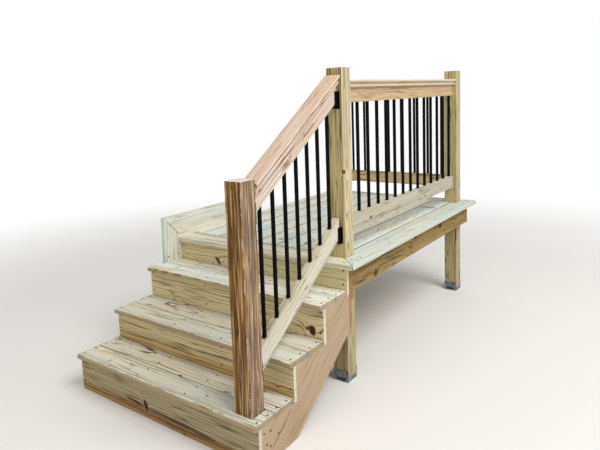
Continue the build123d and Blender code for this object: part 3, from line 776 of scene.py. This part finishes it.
# Coated deck screws, driven until their heads stand just proud of the wood, in millimetres
screwSettings = {
    "Head radius": 4.8, "Head height": 0.8, "Drive share": 0.5, "Sides": 12,
    "driveDepth": 0.6,  # as a share of the head's height
    "starPoints": 6, "pointDepth": 0.2,  # of the drive, as a share of its reach
    "fromEdge": 36,  # from a board's long side
    "wander": 4,  # how far a hand-driven screw misses its row
    "firstRow": 52,  # in the lowest riser, from the ground
    "lowRow": 32,  # in the other risers, from the tread they stand on
    "topRow": 14,  # from a riser's top
    "fromEnd": 18,  # from a deck board's end
    "boardGap": 5, "boardCount": 8, "bayCount": 4,
    "pastSeam": 258,  # length of the short boards behind the butt seam
    "fromCorner": 20,  # from the deck's open side, in its front and far boards
    # Into the newel, from its near face and from the ground
    "newelSpots": ((62.5, 142), (21.5, 145), (30.5, 90), (60.5, 73), (117.5, 96)),
    "rimRow": 582,  # from the ground
    "skirtNear": 26, "skirtFar": 29, "skirtRow": 38,  # from the skirt's edges and its foot
    "colour": "#14100b", "worn": "#3a3328", "roughness": 0.5,
}


# The coat is nearly black with a dull shine, and each head has worn a little differently
def makeScrewCoat(settings):
    material, tree, shader = newMaterial("coatedScrewSteel")
    place = addNode(tree, "ShaderNodeTexCoord", {}, "Object")
    wear = addNode(tree, "ShaderNodeTexNoise", {"Vector": place, "Scale": 8, "Detail": 1})
    colour = addNode(tree, "ShaderNodeMix", {
        0: wear, 6: toLinear(settings["colour"]), 7: toLinear(settings["worn"]),
    }, 2, data_type="RGBA")
    tree.links.new(colour, shader.inputs["Base Color"])
    shader.inputs["Roughness"].default_value = settings["roughness"]
    return material


# Two rows of screws along each board of a tread, and two on each riser, all over the stringers
def stairScrews(settings, rows):
    up, front = directions["z"], directions["-y"]
    inset = settings["fromEdge"] * millimetre
    pitch = timbers["tread_1"]["pitch"] * millimetre
    lowRows = [settings["firstRow"] * millimetre]
    spots = []
    for number in (1, 2, 3):
        low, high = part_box(f"tread_{number}")
        lowRows.append(high.z + settings["lowRow"] * millimetre)
        for start in (low.y, low.y + pitch):
            for x in rows:
                spots.append((Vector((x, start + inset, high.z)), up))
                spots.append((Vector((x, min(start + pitch, high.y) - inset, high.z)), up))
    for number, lowRow in enumerate(lowRows, 1):
        low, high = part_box(f"riser_{number}")
        for x in rows:
            spots.append((Vector((x, low.y, lowRow)), front))
            spots.append((Vector((x, low.y, high.z - settings["topRow"] * millimetre)), front))
    return spots


# Two screws where a deck board crosses a joist or a header, and in the boards at the deck's two
# ends above each stringer's line
def deckScrews(settings, rows):
    up = directions["z"]
    inset = settings["fromEdge"] * millimetre
    fromEnd = settings["fromEnd"] * millimetre
    gap = settings["boardGap"] * millimetre
    low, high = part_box("deck_field_boards")
    edgeLow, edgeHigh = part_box("deck_edge_board")
    boardWidth = edgeHigh.x - high.x - gap
    seam = high.y - settings["pastSeam"] * millimetre
    bay = (seam - low.y) / settings["bayCount"]
    joists = [low.y + bay * count for count in range(1, settings["bayCount"])]
    crossings = [low.y + fromEnd, *joists, seam - fromEnd, high.y - fromEnd]
    spots = []
    for count in range(settings["boardCount"]):
        x = high.x - (boardWidth + gap) * count
        for y in crossings:
            spots.append((Vector((x - inset, y, high.z)), up))
            spots.append((Vector((max(x - boardWidth, low.x) + inset, y, high.z)), up))
    for y in crossings:
        spots.append((Vector((edgeLow.x + inset, y, edgeHigh.z)), up))
        spots.append((Vector((edgeHigh.x - inset, y, edgeHigh.z)), up))
    for node in ("deck_front_board", "deck_far_board"):
        low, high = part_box(node)
        for x in (*rows, high.x - settings["fromCorner"] * millimetre):
            spots.append((Vector((x, low.y + inset, high.z)), up))
            spots.append((Vector((x, high.y - inset, high.z)), up))
    return spots


# Through the outer stringer into the newel, through the rim into the posts, and in the skirt
def frameScrews(settings):
    right = directions["x"]
    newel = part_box("newel_post")[0].y
    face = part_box("outer_stringer")[1].x
    spots = [(Vector((face, newel + y * millimetre, z * millimetre)), right)
             for y, z in settings["newelSpots"]]
    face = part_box("outer_rim")[1].x
    for node in ("front_outer_post", "far_outer_post"):
        low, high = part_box(node)
        middle = (low.y + high.y) / 2
        spots.append((Vector((face, middle, settings["rimRow"] * millimetre)), right))
    low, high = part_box("skirt_upright")
    height = low.z + settings["skirtRow"] * millimetre
    for y in (low.y + settings["skirtNear"] * millimetre, high.y - settings["skirtFar"] * millimetre):
        spots.append((Vector((high.x, y, height)), right))
    return spots


# Where the screws go, and which way each head faces
def screwSpots(settings):
    stringers = ("outer_stringer", "right_middle_stringer", "left_middle_stringer", "wall_stringer")
    rows = [sum(corner.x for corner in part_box(node)) / 2 for node in stringers]
    return stairScrews(settings, rows) + deckScrews(settings, rows) + frameScrews(settings)


# The head of one screw, a low cylinder with a star pressed into it
def addHead(add, given, settings):
    head = add("GeometryNodeMeshCylinder", {
        "Vertices": given["Sides"], "Radius": given["Head radius"], "Depth": given["Head height"],
    }).node.outputs
    rim = add("GeometryNodeExtrudeMesh", {
        "Mesh": head["Mesh"], "Selection": head["Top"], "Offset Scale": 0.0,
    }, mode="FACES").node.outputs
    drive = add("GeometryNodeScaleElements", {
        "Geometry": rim["Mesh"], "Selection": rim["Top"], "Scale": given["Drive share"],
    }, domain="FACE")
    depth = add("ShaderNodeMath", {0: given["Head height"], 1: -settings["driveDepth"]},
                operation="MULTIPLY")
    drive = add("GeometryNodeExtrudeMesh", {
        "Mesh": drive, "Selection": rim["Top"], "Offset Scale": depth,
    }, mode="FACES")
    # Every second corner of the drive is pushed in, which makes its star. The rim's corners lie
    # farther out than 0.8 of the radius and stay where they are.
    corner = add("GeometryNodeInputPosition", {})
    parts = add("ShaderNodeSeparateXYZ", {"Vector": corner}).node.outputs
    angle = add("ShaderNodeMath", {0: parts["Y"], 1: parts["X"]}, operation="ARCTAN2")
    angle = add("ShaderNodeMath", {0: angle, 1: settings["starPoints"]}, operation="MULTIPLY")
    lobe = add("ShaderNodeMath", {0: angle}, operation="COSINE")
    lobe = add("ShaderNodeMath", {0: lobe, 1: settings["pointDepth"], 2: 1}, operation="MULTIPLY_ADD")
    star = add("ShaderNodeCombineXYZ", {"X": lobe, "Y": lobe, "Z": 1})
    star = add("ShaderNodeVectorMath", {0: corner, 1: star}, operation="MULTIPLY")
    flat = add("ShaderNodeVectorMath", {0: corner, 1: (1, 1, 0)}, operation="MULTIPLY")
    reach = add("ShaderNodeVectorMath", {0: flat}, "Value", operation="LENGTH")
    inner = add("ShaderNodeMath", {0: given["Head radius"], 1: 0.8}, operation="MULTIPLY")
    inDrive = add("FunctionNodeCompare", {"A": reach, "B": inner}, operation="LESS_THAN")
    head = add("GeometryNodeSetPosition", {"Geometry": drive, "Selection": inDrive, "Position": star})
    half = add("ShaderNodeMath", {0: given["Head height"], 1: 0.5}, operation="MULTIPLY")
    raised = add("ShaderNodeCombineXYZ", {"Z": half})
    return add("GeometryNodeTransform", {"Geometry": head, "Translation": raised})


# One head is built once, set on every spot and turned by chance
def screwTree(settings):
    tree = bpy.data.node_groups.new("screwRows", "GeometryNodeTree")
    tree.interface.new_socket("Geometry", in_out="INPUT", socket_type="NodeSocketGeometry")
    tree.interface.new_socket("Geometry", in_out="OUTPUT", socket_type="NodeSocketGeometry")
    sockets = {}
    for name in ("Head radius", "Head height", "Drive share", "Sides"):
        kind = "NodeSocketInt" if name == "Sides" else "NodeSocketFloat"
        sockets[name] = tree.interface.new_socket(name, in_out="INPUT", socket_type=kind).identifier
    add = partial(addNode, tree)
    given = add("NodeGroupInput", {}).node.outputs
    head = addHead(add, given, settings)
    facing = add("GeometryNodeInputNamedAttribute", {"Name": "facing"}, data_type="FLOAT_VECTOR")
    turned = add("FunctionNodeAlignEulerToVector", {"Vector": facing}, axis="Z")
    spin = add("FunctionNodeRandomValue", {"Max": 2 * math.pi, "Seed": 3}, "Value", data_type="FLOAT")
    turned = add("FunctionNodeRotateEuler", {"Rotation": turned, "Axis": (0, 0, 1), "Angle": spin},
                 rotation_type="AXIS_ANGLE", space="LOCAL")
    heads = add("GeometryNodeInstanceOnPoints", {
        "Points": given["Geometry"], "Instance": head, "Rotation": turned,
    })
    heads = add("GeometryNodeRealizeInstances", {"Geometry": heads})
    heads = add("GeometryNodeSetMaterial", {"Geometry": heads, "Material": makeScrewCoat(settings)})
    add("NodeGroupOutput", {"Geometry": heads}, None)
    return tree, sockets


def addScrews(settings):
    chance = random.Random(5)
    spots = []
    for place, facing in screwSpots(settings):
        miss = Vector([chance.uniform(-1, 1) for axis in range(3)]) * settings["wander"] * millimetre
        spots.append((place + miss - facing * miss.dot(facing), facing))
    points = bpy.data.meshes.new("screwSpots")
    points.from_pydata([place for place, facing in spots], [], [])
    way = points.attributes.new("facing", "FLOAT_VECTOR", "POINT")
    way.data.foreach_set("vector", [part for place, facing in spots for part in facing])
    screws = bpy.data.objects.new("screw_heads", points)
    scene.collection.objects.link(screws)

    tree, sockets = screwTree(settings)
    modifier = screws.modifiers.new("screwRows", "NODES")
    modifier.node_group = tree
    for name, socket in sockets.items():
        scale = 1 if name in ("Sides", "Drive share") else millimetre
        modifier[socket] = settings[name] * scale
    plain = bpy.data.meshes.new_from_object(screws.evaluated_get(bpy.context.evaluated_depsgraph_get()))
    screws.modifiers.clear()
    screws.data = plain
    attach(screws, "root")
    return len(spots)


print("screws driven:", addScrews(screwSettings))

# Pale floor, which turns to the white of the background far from the stairs, in metres
floorSettings = {"colour": "#f1efeb", "roughness": 0.9, "size": 60, "fadeStart": 2.0, "fadeEnd": 5.5}


def addFloor(settings):
    half = settings["size"] / 2
    corners = [(-half, -half, 0), (half, -half, 0), (half, half, 0), (-half, half, 0)]
    mesh = bpy.data.meshes.new("floor")
    mesh.from_pydata(corners, [], [(0, 1, 2, 3)])
    floor = bpy.data.objects.new("floor", mesh)
    scene.collection.objects.link(floor)
    material, tree, shader = newMaterial("paleFloor")
    shader.inputs["Base Color"].default_value = toLinear(settings["colour"])
    shader.inputs["Roughness"].default_value = settings["roughness"]
    place = addNode(tree, "ShaderNodeTexCoord", {}, "Object")
    far = addNode(tree, "ShaderNodeVectorMath", {0: place}, "Value", operation="LENGTH")
    fade = addNode(tree, "ShaderNodeMapRange", {
        "Value": far, "From Min": settings["fadeStart"], "From Max": settings["fadeEnd"],
    }, interpolation_type="SMOOTHSTEP")
    glow = addNode(tree, "ShaderNodeEmission", {"Color": white, "Strength": 1})
    seen = addNode(tree, "ShaderNodeLightPath", {}, "Is Camera Ray")
    whiteShare = addNode(tree, "ShaderNodeMath", {0: fade, 1: seen}, operation="MULTIPLY")
    mixed = addNode(tree, "ShaderNodeMixShader", {0: whiteShare, 1: shader.outputs[0], 2: glow})
    tree.links.new(mixed, tree.nodes["Material Output"].inputs["Surface"])
    mesh.materials.append(material)


# Studio light: a broad key from outside the rail, a softer fill in front, and even light all round
lightSettings = {
    "key": {"place": (4.6, -1.0, 6.6), "size": 4.0, "power": 400},
    "fill": {"place": (0.5, -6.5, 3.5), "size": 4.0, "power": 35},
    "aim": (0, 0, 0.6),
    "around": 0.47,
}


def addLights(settings):
    for name in ("key", "fill"):
        lamp = settings[name]
        data = bpy.data.lights.new(name, "AREA")
        data.size = lamp["size"]
        data.energy = lamp["power"]
        light = bpy.data.objects.new(name, data)
        light.location = lamp["place"]
        aim = Vector(settings["aim"]) - light.location
        light.rotation_euler = aim.to_track_quat("-Z", "Y").to_euler()
        scene.collection.objects.link(light)
    world = bpy.data.worlds.new("studio")
    scene.world = world
    world.use_nodes = True
    tree = world.node_tree
    rays = addNode(tree, "ShaderNodeLightPath", {}).node.outputs
    seen = addNode(tree, "ShaderNodeMath", {0: rays["Is Camera Ray"], 1: rays["Is Glossy Ray"]},
                   operation="MAXIMUM")
    seen = addNode(tree, "ShaderNodeMath", {0: seen, 1: rays["Is Transmission Ray"]},
                   operation="MAXIMUM")
    strength = addNode(tree, "ShaderNodeMapRange", {
        "Value": seen, "To Min": settings["around"], "To Max": 1,
    })
    background = tree.nodes["Background"]
    background.inputs["Color"].default_value = white
    tree.links.new(strength, background.inputs["Strength"])


addFloor(floorSettings)
addLights(lightSettings)
print("floor and lights set")
